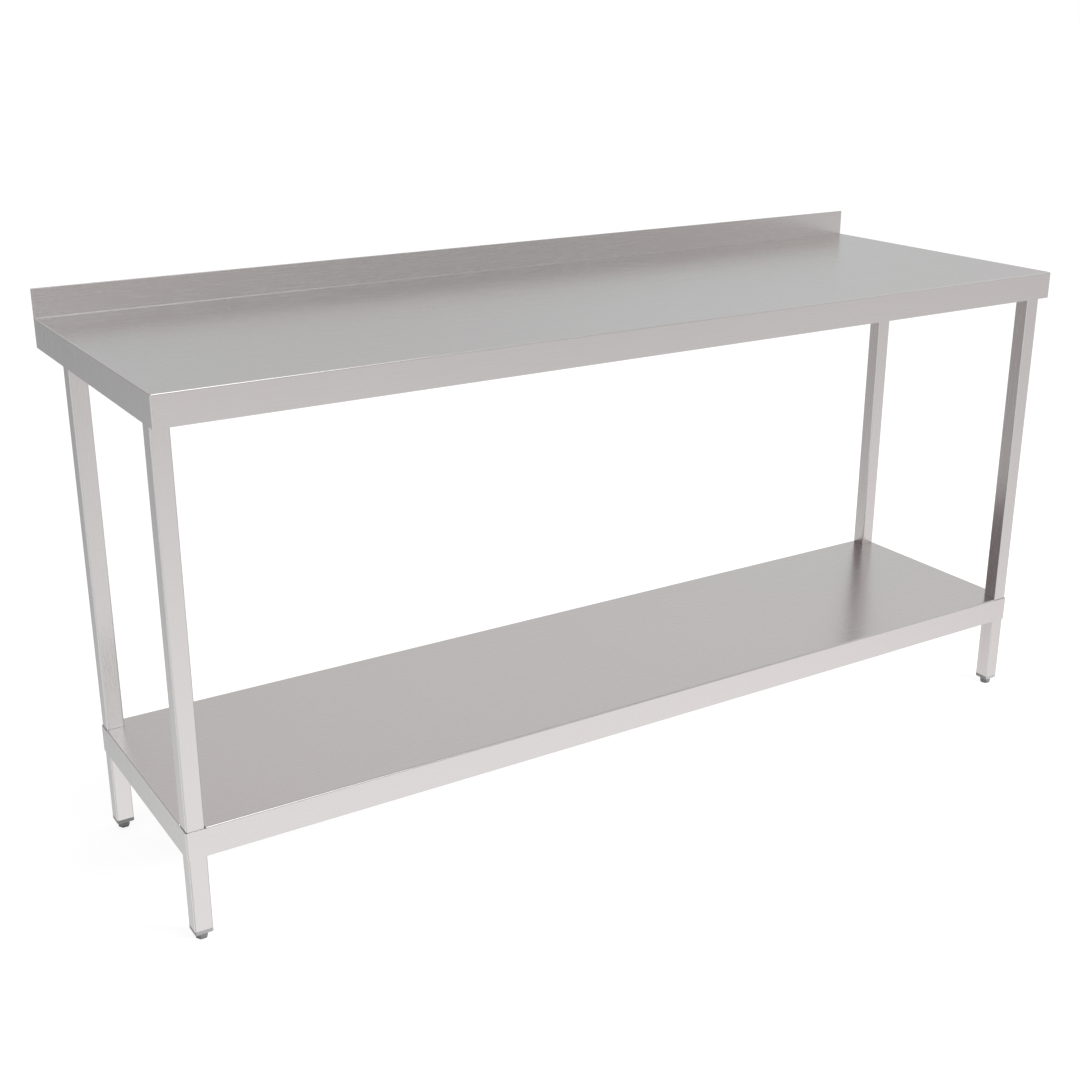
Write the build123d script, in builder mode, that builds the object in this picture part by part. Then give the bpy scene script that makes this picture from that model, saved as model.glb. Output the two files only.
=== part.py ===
"""Stainless steel work table with a rear upstand and an undershelf.

Millimetres. +X runs along the table to the right, +Y to the back, +Z up.
The origin is on the floor, under the centre of the worktop.
"""

from build123d import *
import os

os.makedirs("parts", exist_ok=True)

# ---------------------------------------------------------------- driving dimensions

table_length = 1800.0
table_depth = 600.0
worktop_height = 890.0  # working surface above the floor, feet screwed right in
apron_height = 50.0  # folded edge of the worktop and of the shelf
upstand_height = 50.0

sheet = 1.2  # stainless sheet of the worktop, the shelf and the leg tubes
bend_radius = 2.5  # outside radius of every bend in that sheet
fold_radius = 1.0  # inside radius of the fold between the worktop and the upstand
fold_clearance = 0.5  # between a leg and the apron or notch beside it

leg_size = 30.0  # square tube, across the flats
leg_front_setback = 21.2  # worktop front face to the front legs
leg_rear_setback = 151.2  # worktop rear face to the rear legs

shelf_height = 200.0  # top of the shelf above the floor

rail_sheet = 1.5  # galvanised sheet of the rails and channels
rail_crown = 30.0
rail_depth = 25.0
rail_flange = 15.0
channel_depth = 20.0  # the lighter channels between the rails and under the shelf

plug_flange = 7.0  # the part of the plastic plug seen below the tube
foot_height = 13.0  # floor to the underside of the plug
foot_travel = 25.0  # how far a levelling foot screws out
foot_gap = 0.1  # between a foot's moving faces and what they turn or stop on

# ---------------------------------------------------------------- worked out from them

half_length = table_length / 2
half_depth = table_depth / 2
apron_bottom = worktop_height - apron_height
deck_underside = worktop_height - sheet
overall_height = worktop_height + upstand_height

leg_x = half_length - sheet - fold_clearance - leg_size / 2
front_leg_y = -half_depth + leg_front_setback + leg_size / 2
rear_leg_y = half_depth - leg_rear_setback - leg_size / 2
leg_bottom = foot_height + plug_flange

# corner name: (leg centre x, leg centre y, direction to the middle in x, in y)
corners = {
    "front_left": (-leg_x, front_leg_y, 1, 1),
    "front_right": (leg_x, front_leg_y, -1, 1),
    "rear_left": (-leg_x, rear_leg_y, 1, -1),
    "rear_right": (leg_x, rear_leg_y, -1, -1),
}

shelf_front = front_leg_y - leg_size / 2 - fold_clearance - sheet
shelf_rear = rear_leg_y + leg_size / 2 + fold_clearance + sheet
shelf_depth = shelf_rear - shelf_front
shelf_middle = (shelf_front + shelf_rear) / 2
shelf_bottom = shelf_height - apron_height
shelf_underside = shelf_height - sheet

rail_top = deck_underside
rail_bottom = rail_top - rail_depth

# ---------------------------------------------------------------- fasteners

m8_across = 13.0
m8_head = 5.3
m8_shank = 7.9
m8_thread = 8.0
m8_hole = 9.0
m8_washer = 16.0
m8_rivet_body = 11.0
m8_rivet_bulge = 14.0

m6_across = 10.0
m6_head = 4.0
m6_shank = 5.9
m6_thread = 6.0
m6_hole = 7.0
m6_washer = 12.0
m6_rivet_body = 9.0
m6_rivet_bulge = 11.5

washer_sheet = 1.6
rivet_bulge_height = 2.5
rivet_clearance = 0.04  # on the diameter of a rivet nut in its hole


# ================================================================ worktop

return_width = 20.0  # lower lip of the front and rear aprons
side_return_width = 15.0
return_to_leg = 10.0  # lips stop this far short of a leg
upstand_thickness = 2 * sheet  # the sheet goes up and is folded flat back down

with BuildPart() as worktop:
    # deck and aprons, as an upside-down pan with folded edges
    with BuildSketch(Plane.XY.offset(apron_bottom)):
        Rectangle(table_length, table_depth)
    extrude(amount=apron_height)
    upright_edges = worktop.edges().filter_by(Axis.Z)
    deck_edges = worktop.faces().sort_by(Axis.Z)[-1].edges()
    fillet(upright_edges + deck_edges, radius=bend_radius)
    offset(amount=-sheet, openings=worktop.faces().sort_by(Axis.Z)[0])

    # upstand along the back: one sheet up, the same sheet back down to the apron's edge
    with BuildSketch(Plane.YZ.offset(-half_length)):
        with BuildLine():
            Polyline(
                (half_depth, apron_bottom),
                (half_depth, overall_height),
                (half_depth - upstand_thickness, overall_height),
                (half_depth - upstand_thickness, deck_underside),
                (half_depth - sheet, deck_underside),
                (half_depth - sheet, apron_bottom),
                close=True,
            )
        make_face()
    extrude(amount=table_length)
    hem_edges = worktop.faces().sort_by(Axis.Z)[-1].edges().filter_by(Axis.X)
    fillet(hem_edges, radius=0.9 * sheet)

    # the bend between the deck and the upstand
    bend_y = half_depth - upstand_thickness
    with BuildSketch(Plane.YZ.offset(bend_radius - half_length)):
        with BuildLine():
            Line((bend_y - fold_radius, worktop_height), (bend_y, worktop_height))
            Line((bend_y, worktop_height), (bend_y, worktop_height + fold_radius))
            RadiusArc(
                (bend_y, worktop_height + fold_radius),
                (bend_y - fold_radius, worktop_height),
                fold_radius,
            )
        make_face()
    extrude(amount=table_length - 2 * bend_radius)

    # lower lips of the front and rear aprons, full length
    lip_length = table_length - 2 * sheet
    for lip_side in (-1, 1):
        lip_y = lip_side * (half_depth - (sheet + return_width) / 2)
        with BuildSketch(Plane.XY.offset(apron_bottom)):
            with Locations((0, lip_y)):
                Rectangle(lip_length, return_width - sheet)
        extrude(amount=sheet)

    # lower lips of the end aprons, broken around the legs
    front_gap = front_leg_y + leg_size / 2 + return_to_leg
    rear_gap = rear_leg_y - leg_size / 2 - return_to_leg
    behind_leg = rear_leg_y + leg_size / 2 + return_to_leg
    lip_spans = ((front_gap, rear_gap), (behind_leg, half_depth - return_width))
    side_lip_x = half_length - (sheet + side_return_width) / 2
    for start, end in lip_spans:
        with BuildSketch(Plane.XY.offset(apron_bottom)):
            with Locations((-side_lip_x, (start + end) / 2), (side_lip_x, (start + end) / 2)):
                Rectangle(side_return_width - sheet, end - start)
        extrude(amount=sheet)

worktop.part.label = "worktop"
export_step(worktop.part, "parts/worktop.step")


# ================================================================ rails and channels


def top_hat(crown, depth, flange, thickness):
    """Section of a top-hat channel with its open side up.

    Sketch X is across the channel and sketch Y is up. The flanges' upper faces lie on
    the sketch's X axis.
    """
    half = thickness / 2
    side = crown / 2 - half
    with BuildSketch() as section:
        with BuildLine():
            FilletPolyline(
                (-side - flange, -half),
                (-side, -half),
                (-side, half - depth),
                (side, half - depth),
                (side, -half),
                (side + flange, -half),
                radius=1.5 * thickness,
            )
        trace(line_width=thickness)
    return section.sketch


rail_length = table_length - 2 * sheet - 6.0

# bolts through each leg plate, counted from the leg centre towards the middle
plate_bolt_offsets = (32.0, 68.0)
plate_bolt_points = [
    (x + inward * along, y)
    for x, y, inward, _ in corners.values()
    for along in plate_bolt_offsets
]

for rail_name, rail_y in (("front_rail", front_leg_y), ("rear_rail", rear_leg_y)):
    rail_section = top_hat(rail_crown, rail_depth, rail_flange, rail_sheet)
    with BuildPart() as rail:
        with BuildSketch(Plane.YZ.offset(-rail_length / 2)):
            with Locations((rail_y, rail_top)):
                add(rail_section)
        extrude(amount=rail_length)
        # holes for the rivet nuts that take the leg plate bolts
        with BuildSketch(Plane.XY.offset(rail_bottom)):
            with Locations(*[point for point in plate_bolt_points if point[1] == rail_y]):
                Circle(m8_rivet_body / 2)
        extrude(amount=rail_sheet, mode=Mode.SUBTRACT)
    rail.part.label = rail_name
    export_step(rail.part, f"parts/{rail_name}.step")

# cross channels tie the two rails together under the deck
channel_gap = 2.0
channel_start = front_leg_y + rail_crown / 2 + rail_flange + channel_gap
channel_end = rear_leg_y - rail_crown / 2 - rail_flange - channel_gap
cross_channels = {
    "cross_channel_left": -table_length / 4,
    "cross_channel_centre": 0.0,
    "cross_channel_right": table_length / 4,
}
channel_section = top_hat(rail_crown, channel_depth, rail_flange, rail_sheet)

for channel_name, channel_x in cross_channels.items():
    with BuildPart() as cross_channel:
        with BuildSketch(Plane.XZ.offset(-channel_end)):
            with Locations((channel_x, rail_top)):
                add(channel_section)
        extrude(amount=channel_end - channel_start)
    cross_channel.part.label = channel_name
    export_step(cross_channel.part, f"parts/{channel_name}.step")

# one long channel stiffens the shelf
shelf_channel_length = table_length - 100.0
with BuildPart() as shelf_channel:
    with BuildSketch(Plane.YZ.offset(-shelf_channel_length / 2)):
        with Locations((shelf_middle, shelf_underside)):
            add(channel_section)
    extrude(amount=shelf_channel_length)
shelf_channel.part.label = "shelf_channel"
export_step(shelf_channel.part, "parts/shelf_channel.step")


# ================================================================ legs and their top plates

plate_thickness = 3.0
plate_length = 100.0
leg_top = rail_bottom - plate_thickness

bracket_thickness = 2.0
bracket_width = 26.0
bracket_drop = 42.0
bracket_reach = 40.0
bracket_bolt_drops = (13.0, 31.0)  # below the shelf's underside
bracket_bolt_heights = [shelf_underside - drop for drop in bracket_bolt_drops]

for corner, (x, y, inward, _) in corners.items():
    with BuildPart() as leg:
        with BuildSketch(Plane.XY.offset(leg_bottom)):
            with Locations((x, y)):
                RectangleRounded(leg_size, leg_size, bend_radius)
                RectangleRounded(
                    leg_size - 2 * sheet,
                    leg_size - 2 * sheet,
                    bend_radius - sheet,
                    mode=Mode.SUBTRACT,
                )
        extrude(amount=leg_top - leg_bottom)
        # holes in the inner face for the rivet nuts that carry the shelf bracket
        with BuildSketch(Plane.YZ.offset(x)):
            with Locations(*[(y, height) for height in bracket_bolt_heights]):
                Circle(m6_rivet_body / 2)
        extrude(amount=inward * leg_size, mode=Mode.SUBTRACT)
    leg.part.label = f"leg_{corner}"
    export_step(leg.part, f"parts/leg_{corner}.step")

    with BuildPart() as leg_plate:
        plate_centre = x + inward * (plate_length - leg_size) / 2
        with BuildSketch(Plane.XY.offset(leg_top)):
            with Locations((plate_centre, y)):
                RectangleRounded(plate_length, leg_size, bend_radius)
            with Locations(*[(x + inward * along, y) for along in plate_bolt_offsets]):
                Circle(m8_hole / 2, mode=Mode.SUBTRACT)
        extrude(amount=plate_thickness)
    leg_plate.part.label = f"leg_plate_{corner}"
    export_step(leg_plate.part, f"parts/leg_plate_{corner}.step")


# ================================================================ undershelf

notch_size = leg_size + 2 * fold_clearance
relief_radius = 1.3
shelf_lip = 15.0

with BuildPart() as shelf:
    with BuildSketch(Plane.XY.offset(shelf_bottom)):
        with Locations((0, shelf_middle)):
            Rectangle(table_length, shelf_depth)
    extrude(amount=apron_height)
    shelf_upright_edges = shelf.edges().filter_by(Axis.Z)
    shelf_deck_edges = shelf.faces().sort_by(Axis.Z)[-1].edges()
    fillet(shelf_upright_edges + shelf_deck_edges, radius=bend_radius)
    offset(amount=-sheet, openings=shelf.faces().sort_by(Axis.Z)[0])

    # square notches let the legs through. They take the fold away beside the leg, so the aprons
    # end in a flat edge there, with a round relief where the fold starts again
    notch_floor = shelf_height - bend_radius
    notch_overrun = 2 * bend_radius  # outwards, past the aprons
    with BuildSketch(Plane.XY.offset(notch_floor)):
        for x, y, toward_x, toward_y in corners.values():
            relief_x = x + toward_x * notch_size / 2
            relief_y = y + toward_y * notch_size / 2
            outer_x = x - toward_x * notch_size / 2
            outer_y = y - toward_y * notch_size / 2
            with Locations(
                (x - toward_x * notch_overrun / 2, y - toward_y * notch_overrun / 2)
            ):
                Rectangle(notch_size + notch_overrun, notch_size + notch_overrun)
            with Locations((relief_x, outer_y), (outer_x, relief_y)):
                Circle(relief_radius)
    extrude(amount=apron_height, mode=Mode.SUBTRACT)

    # lower lips of the front and rear aprons, between the legs
    lip_end = leg_x - leg_size / 2 - return_to_leg
    for lip_y in (shelf_front + (sheet + shelf_lip) / 2, shelf_rear - (sheet + shelf_lip) / 2):
        with BuildSketch(Plane.XY.offset(shelf_bottom)):
            with Locations((0, lip_y)):
                Rectangle(2 * lip_end, shelf_lip - sheet)
        extrude(amount=sheet)

    # lower lips of the end aprons, between the legs
    end_lip_x = half_length - (sheet + shelf_lip) / 2
    with BuildSketch(Plane.XY.offset(shelf_bottom)):
        with Locations((-end_lip_x, shelf_middle), (end_lip_x, shelf_middle)):
            Rectangle(shelf_lip - sheet, rear_gap - front_gap)
    extrude(amount=sheet)

shelf.part.label = "shelf"
export_step(shelf.part, "parts/shelf.step")

# an angle bracket in each corner joins the shelf's underside to the leg's inner face
for corner, (x, y, inward, _) in corners.items():
    face_x = x + inward * leg_size / 2
    with BuildPart() as shelf_bracket:
        with BuildSketch(Plane.XZ.offset(-y - bracket_width / 2)):
            with BuildLine():
                FilletPolyline(
                    (face_x + inward * bracket_reach, shelf_underside - bracket_thickness / 2),
                    (face_x + inward * bracket_thickness / 2, shelf_underside - bracket_thickness / 2),
                    (face_x + inward * bracket_thickness / 2, shelf_underside - bracket_drop),
                    radius=1.5 * bracket_thickness,
                )
            trace(line_width=bracket_thickness)
        extrude(amount=bracket_width)
        with BuildSketch(Plane.YZ.offset(face_x)):
            with Locations(*[(y, height) for height in bracket_bolt_heights]):
                Circle(m6_hole / 2)
        extrude(amount=inward * bracket_thickness, mode=Mode.SUBTRACT)
    shelf_bracket.part.label = f"shelf_bracket_{corner}"
    export_step(shelf_bracket.part, f"parts/shelf_bracket_{corner}.step")


# ================================================================ bolts, washers and rivet nuts

m8_length = 18.0
m8_rivet_length = 14.0
m6_length = 14.0
m6_rivet_length = 12.0

# the leg plate bolts go straight up through plate and rail
washer_top = leg_top
washer_bottom = washer_top - washer_sheet

with BuildPart() as leg_plate_washers:
    with BuildSketch(Plane.XY.offset(washer_bottom)):
        with Locations(*plate_bolt_points):
            Circle(m8_washer / 2)
            Circle(m8_hole / 2, mode=Mode.SUBTRACT)
    extrude(amount=washer_sheet)
leg_plate_washers.part.label = "leg_plate_washers"
export_step(leg_plate_washers.part, "parts/leg_plate_washers.step")

with BuildPart() as leg_plate_bolts:
    with BuildSketch(Plane.XY.offset(washer_bottom - m8_head)):
        with Locations(*plate_bolt_points):
            RegularPolygon(m8_across / 2, 6, major_radius=False)
    extrude(amount=m8_head)
    with BuildSketch(Plane.XY.offset(washer_bottom)):
        with Locations(*plate_bolt_points):
            Circle(m8_shank / 2)
    extrude(amount=m8_length)
leg_plate_bolts.part.label = "leg_plate_bolts"
export_step(leg_plate_bolts.part, "parts/leg_plate_bolts.step")

with BuildPart() as rail_rivet_nuts:
    with BuildSketch(Plane.XY.offset(rail_bottom)):
        with Locations(*plate_bolt_points):
            Circle((m8_rivet_body - rivet_clearance) / 2)
    extrude(amount=m8_rivet_length)
    with BuildSketch(Plane.XY.offset(rail_bottom + rail_sheet)):
        with Locations(*plate_bolt_points):
            Circle(m8_rivet_bulge / 2)
    extrude(amount=rivet_bulge_height)
    with BuildSketch(Plane.XY.offset(rail_bottom)):
        with Locations(*plate_bolt_points):
            Circle(m8_thread / 2)
    extrude(amount=m8_rivet_length, mode=Mode.SUBTRACT)
rail_rivet_nuts.part.label = "rail_rivet_nuts"
export_step(rail_rivet_nuts.part, "parts/rail_rivet_nuts.step")

# the shelf bolts lie level, screwed outwards from the brackets into the legs
shelf_bolt_points = [
    (y, height) for y in (front_leg_y, rear_leg_y) for height in bracket_bolt_heights
]
bracket_face = leg_x - leg_size / 2 - bracket_thickness

with BuildPart() as shelf_washers:
    for side in (-1, 1):
        with BuildSketch(Plane.YZ.offset(side * bracket_face)):
            with Locations(*shelf_bolt_points):
                Circle(m6_washer / 2)
                Circle(m6_hole / 2, mode=Mode.SUBTRACT)
        extrude(amount=-side * washer_sheet)
shelf_washers.part.label = "shelf_washers"
export_step(shelf_washers.part, "parts/shelf_washers.step")

bolt_face = bracket_face - washer_sheet
with BuildPart() as shelf_bolts:
    for side in (-1, 1):
        with BuildSketch(Plane.YZ.offset(side * bolt_face)):
            with Locations(*shelf_bolt_points):
                RegularPolygon(m6_across / 2, 6, major_radius=False)
        extrude(amount=-side * m6_head)
        with BuildSketch(Plane.YZ.offset(side * bolt_face)):
            with Locations(*shelf_bolt_points):
                Circle(m6_shank / 2)
        extrude(amount=side * m6_length)
shelf_bolts.part.label = "shelf_bolts"
export_step(shelf_bolts.part, "parts/shelf_bolts.step")

leg_inner_face = leg_x - leg_size / 2
with BuildPart() as leg_rivet_nuts:
    for side in (-1, 1):
        with BuildSketch(Plane.YZ.offset(side * leg_inner_face)):
            with Locations(*shelf_bolt_points):
                Circle((m6_rivet_body - rivet_clearance) / 2)
        extrude(amount=side * m6_rivet_length)
        with BuildSketch(Plane.YZ.offset(side * (leg_inner_face + sheet))):
            with Locations(*shelf_bolt_points):
                Circle(m6_rivet_bulge / 2)
        extrude(amount=side * rivet_bulge_height)
        with BuildSketch(Plane.YZ.offset(side * leg_inner_face)):
            with Locations(*shelf_bolt_points):
                Circle(m6_thread / 2)
        extrude(amount=side * m6_rivet_length, mode=Mode.SUBTRACT)
leg_rivet_nuts.part.label = "leg_rivet_nuts"
export_step(leg_rivet_nuts.part, "parts/leg_rivet_nuts.step")


# ================================================================ levelling feet

plug_body = 25.0  # square core inside the tube
plug_rib = 27.4  # ribs grip the tube's inside
plug_rib_height = 2.0
plug_rib_count = 3
plug_top = leg_bottom + 25.0
plug_bore = 11.0

nut_across = 16.0
nut_height = 8.4
nut_pocket_clearance = 0.1
stud_thread = 10.0  # M10 x 1.5
stud_diameter = stud_thread - foot_gap
stud_top = plug_top + foot_travel + 1.0
moulding_clearance = 0.04  # on the diameter, between the stud and the body moulded on it

pad_across = 17.4  # six-sided like the body above it
pad_chamfer = 0.5
pad_height = 3.0
pad_boss_diameter = 5.8
pad_boss_height = 3.0
hex_across = 19.0
hex_bottom_chamfer = 0.8
hex_top_chamfer = 0.5
hex_bottom = pad_height + foot_gap
hex_top = foot_height - foot_gap
hex_socket = 6.0  # bore that turns on the pad's boss
stud_bottom = hex_bottom + pad_boss_height + 1.0

for corner, (x, y, _, _) in corners.items():
    nut_bottom = plug_top - nut_height
    with BuildPart() as foot_plug:
        with BuildSketch(Plane.XY.offset(foot_height)):
            with Locations((x, y)):
                RectangleRounded(leg_size, leg_size, bend_radius)
        extrude(amount=plug_flange)
        chamfer(foot_plug.faces().sort_by(Axis.Z)[0].edges(), length=0.6)
        with BuildSketch(Plane.XY.offset(leg_bottom)):
            with Locations((x, y)):
                RectangleRounded(plug_body, plug_body, bend_radius)
        extrude(amount=plug_top - leg_bottom)
        rib_pitch = (plug_top - leg_bottom) / plug_rib_count
        for rib in range(plug_rib_count):
            with BuildSketch(Plane.XY.offset(leg_bottom + (rib + 0.4) * rib_pitch)):
                with Locations((x, y)):
                    RectangleRounded(plug_rib, plug_rib, bend_radius - sheet)
            extrude(amount=plug_rib_height)
        with BuildSketch(Plane.XY.offset(foot_height)):
            with Locations((x, y)):
                Circle(plug_bore / 2)
        extrude(amount=plug_top - foot_height, mode=Mode.SUBTRACT)
        with BuildSketch(Plane.XY.offset(nut_bottom)):
            with Locations((x, y)):
                RegularPolygon((nut_across + nut_pocket_clearance) / 2, 6, major_radius=False)
        extrude(amount=nut_height, mode=Mode.SUBTRACT)
    foot_plug.part.label = f"foot_plug_{corner}"
    export_step(foot_plug.part, f"parts/foot_plug_{corner}.step")

    with BuildPart() as foot_nut:
        with BuildSketch(Plane.XY.offset(nut_bottom)):
            with Locations((x, y)):
                RegularPolygon(nut_across / 2, 6, major_radius=False)
                Circle(stud_thread / 2, mode=Mode.SUBTRACT)
        extrude(amount=nut_height)
    foot_nut.part.label = f"foot_nut_{corner}"
    export_step(foot_nut.part, f"parts/foot_nut_{corner}.step")

    with BuildPart() as foot_stud:
        with BuildSketch(Plane.XY.offset(stud_bottom)):
            with Locations((x, y)):
                Circle(stud_diameter / 2)
        extrude(amount=stud_top - stud_bottom)
        chamfer(foot_stud.faces().sort_by(Axis.Z)[-1].edges(), length=1.0)
    foot_stud.part.label = f"foot_stud_{corner}"
    export_step(foot_stud.part, f"parts/foot_stud_{corner}.step")

    with BuildPart() as foot_hex:
        with BuildSketch(Plane.XY.offset(hex_bottom)):
            with Locations((x, y)):
                RegularPolygon(hex_across / 2, 6, major_radius=False)
        extrude(amount=hex_top - hex_bottom)
        chamfer(foot_hex.faces().sort_by(Axis.Z)[0].edges(), length=hex_bottom_chamfer)
        chamfer(foot_hex.faces().sort_by(Axis.Z)[-1].edges(), length=hex_top_chamfer)
        with BuildSketch(Plane.XY.offset(stud_bottom)):
            with Locations((x, y)):
                Circle((stud_diameter + moulding_clearance) / 2)
        extrude(amount=hex_top - stud_bottom, mode=Mode.SUBTRACT)
        with BuildSketch(Plane.XY.offset(hex_bottom)):
            with Locations((x, y)):
                Circle(hex_socket / 2)
        extrude(amount=pad_boss_height + foot_gap, mode=Mode.SUBTRACT)
    foot_hex.part.label = f"foot_hex_{corner}"
    export_step(foot_hex.part, f"parts/foot_hex_{corner}.step")

    with BuildPart() as foot_pad:
        with BuildSketch():
            with Locations((x, y)):
                RegularPolygon(pad_across / 2, 6, major_radius=False)
        extrude(amount=pad_height)
        chamfer(foot_pad.faces().sort_by(Axis.Z)[0].edges(), length=pad_chamfer)
        with BuildSketch(Plane.XY.offset(pad_height)):
            with Locations((x, y)):
                Circle(pad_boss_diameter / 2)
        extrude(amount=pad_boss_height)
    foot_pad.part.label = f"foot_pad_{corner}"
    export_step(foot_pad.part, f"parts/foot_pad_{corner}.step")
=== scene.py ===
"""Looks for the stainless steel work table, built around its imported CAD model.

Metres. +X runs along the table to the right, +Y to the back, +Z up. The origin is on
the floor, under the centre of the worktop.
"""

import math

import bmesh
import bpy
from mathutils import Matrix, Vector


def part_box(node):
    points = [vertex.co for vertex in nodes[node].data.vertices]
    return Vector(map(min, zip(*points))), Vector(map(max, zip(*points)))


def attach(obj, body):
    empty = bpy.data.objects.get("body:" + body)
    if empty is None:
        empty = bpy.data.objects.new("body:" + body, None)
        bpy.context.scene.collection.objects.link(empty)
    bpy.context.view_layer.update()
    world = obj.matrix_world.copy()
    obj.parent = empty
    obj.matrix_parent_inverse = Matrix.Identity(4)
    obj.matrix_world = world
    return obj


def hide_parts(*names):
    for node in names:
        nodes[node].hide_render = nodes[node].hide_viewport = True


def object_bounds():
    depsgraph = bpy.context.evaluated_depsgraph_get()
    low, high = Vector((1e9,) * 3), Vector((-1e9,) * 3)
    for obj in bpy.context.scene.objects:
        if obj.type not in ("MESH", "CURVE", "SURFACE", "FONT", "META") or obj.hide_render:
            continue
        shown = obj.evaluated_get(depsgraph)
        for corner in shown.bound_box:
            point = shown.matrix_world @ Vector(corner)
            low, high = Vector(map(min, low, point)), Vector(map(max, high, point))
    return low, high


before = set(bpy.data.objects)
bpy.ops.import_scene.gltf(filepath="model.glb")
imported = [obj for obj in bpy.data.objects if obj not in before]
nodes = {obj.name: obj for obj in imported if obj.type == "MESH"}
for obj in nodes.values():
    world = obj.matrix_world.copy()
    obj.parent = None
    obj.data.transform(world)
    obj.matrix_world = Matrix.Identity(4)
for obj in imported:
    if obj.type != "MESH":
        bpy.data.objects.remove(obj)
cad_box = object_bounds()

MM = 0.001

CORNERS = ("front_left", "front_right", "rear_left", "rear_right")
RAILS = ("front_rail", "rear_rail")
CHANNELS = ("cross_channel_left", "cross_channel_centre", "cross_channel_right", "shelf_channel")


# ================================================================ camera

# fitted to the table's edges in the photograph
CAMERA_PLACE = (-1.4986, -2.2551, 1.3980)
CAMERA_DOWN = 19.967  # degrees below level
CAMERA_RIGHT = 32.015  # degrees from +Y towards +X
LENS_MM = 50.0
SENSOR_MM = 36.0
VIEW_DEPTH = 200.0

camera_data = bpy.data.cameras.new("camera")
camera_data.lens = LENS_MM
camera_data.sensor_width = SENSOR_MM
camera_data.clip_end = VIEW_DEPTH
camera = bpy.data.objects.new("camera", camera_data)
camera.location = CAMERA_PLACE
camera.rotation_euler = (math.radians(90.0 - CAMERA_DOWN), 0.0, math.radians(-CAMERA_RIGHT))
bpy.context.scene.collection.objects.link(camera)
bpy.context.scene.camera = camera


# ================================================================ helpers


def mesh_piece(name, bm):
    """A new mesh object in the scene from a finished bmesh, which is freed."""
    mesh = bpy.data.meshes.new(name)
    bm.to_mesh(mesh)
    bm.free()
    piece = bpy.data.objects.new(name, mesh)
    bpy.context.scene.collection.objects.link(piece)
    return piece


class Tree:
    """Short calls that build the node tree of its owner, a material or a world."""

    def __init__(self, owner):
        self.owner = owner
        owner.use_nodes = True
        self.nodes = owner.node_tree.nodes
        self.links = owner.node_tree.links
        self.nodes.clear()
        self.coords = self.nodes.new("ShaderNodeTexCoord").outputs

    def feed(self, socket, value):
        """Links a value that is an output socket, and sets any other on the input itself."""
        if isinstance(value, bpy.types.NodeSocket):
            self.links.new(value, socket)
        else:
            socket.default_value = value

    def node(self, kind, *values, **settings):
        """A new node with the given settings, whose first inputs take the values."""
        made = self.nodes.new(f"ShaderNode{kind}")
        for name, setting in settings.items():
            setattr(made, name, setting)
        for socket, value in zip(made.inputs, values):
            self.feed(socket, value)
        return made

    def math(self, operation, a, b=0.0, c=0.0, clamp=False):
        return self.node("Math", a, b, c, operation=operation, use_clamp=clamp).outputs[0]

    def split(self, vector):
        return self.node("SeparateXYZ", vector).outputs

    def join(self, x, y, z):
        return self.node("CombineXYZ", x, y, z).outputs[0]

    def stretch(self, vector, *scales):
        """The vector with each axis multiplied by its own scale."""
        parts = zip(self.split(vector), scales)
        return self.join(*[self.math("MULTIPLY", part, scale) for part, scale in parts])

    def noise(self, vector, scale, detail, roughness, distortion=0.0):
        """Smooth noise in 0..1 about 0.5."""
        made = self.node("TexNoise", vector)
        made.inputs["Scale"].default_value = scale
        made.inputs["Detail"].default_value = detail
        made.inputs["Roughness"].default_value = roughness
        made.inputs["Distortion"].default_value = distortion
        return made.outputs["Fac"]

    def cell_shades(self, vector, scale):
        """A random shade in 0..1 for each cell of a crystal-like pattern."""
        made = self.node("TexVoronoi", vector)
        made.inputs["Scale"].default_value = scale
        return self.split(made.outputs["Color"])[0]

    def remap(self, value, low, high, to_low, to_high):
        """value from low..high to to_low..to_high, held at both ends."""
        return self.node("MapRange", value, low, high, to_low, to_high).outputs[0]

    def vary(self, base, pattern, spread):
        """The base changed by a 0..1 pattern, by up to half the spread each way."""
        return self.math("MULTIPLY_ADD", self.math("SUBTRACT", pattern, 0.5), spread, base)

    def blend(self, factor, colour_a, colour_b):
        made = self.node("Mix", factor, data_type="RGBA")
        sockets = {s.name: s for s in made.inputs if s.type == "RGBA"}
        for name, colour in (("A", colour_a), ("B", colour_b)):
            if not isinstance(colour, bpy.types.NodeSocket):
                colour = (*colour, 1.0)
            self.feed(sockets[name], colour)
        return next(s for s in made.outputs if s.type == "RGBA")

    def bump(self, height, strength, distance, normal=None):
        made = self.node("Bump")
        self.feed(made.inputs["Height"], height)
        made.inputs["Strength"].default_value = strength
        made.inputs["Distance"].default_value = distance
        if normal is not None:
            self.feed(made.inputs["Normal"], normal)
        return made.outputs[0]

    def surface(self, colour, roughness, normal=None, **constants):
        """The finished material. Constants are set on the shader's own sockets, by name."""
        shader = self.node("BsdfPrincipled")
        self.feed(shader.inputs["Base Color"], colour)
        self.feed(shader.inputs["Roughness"], roughness)
        if normal is not None:
            self.feed(shader.inputs["Normal"], normal)
        for name, value in constants.items():
            shader.inputs[name.replace("_", " ")].default_value = value
        self.node("OutputMaterial", shader.outputs[0])
        return self.owner


# ================================================================ studio

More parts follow.
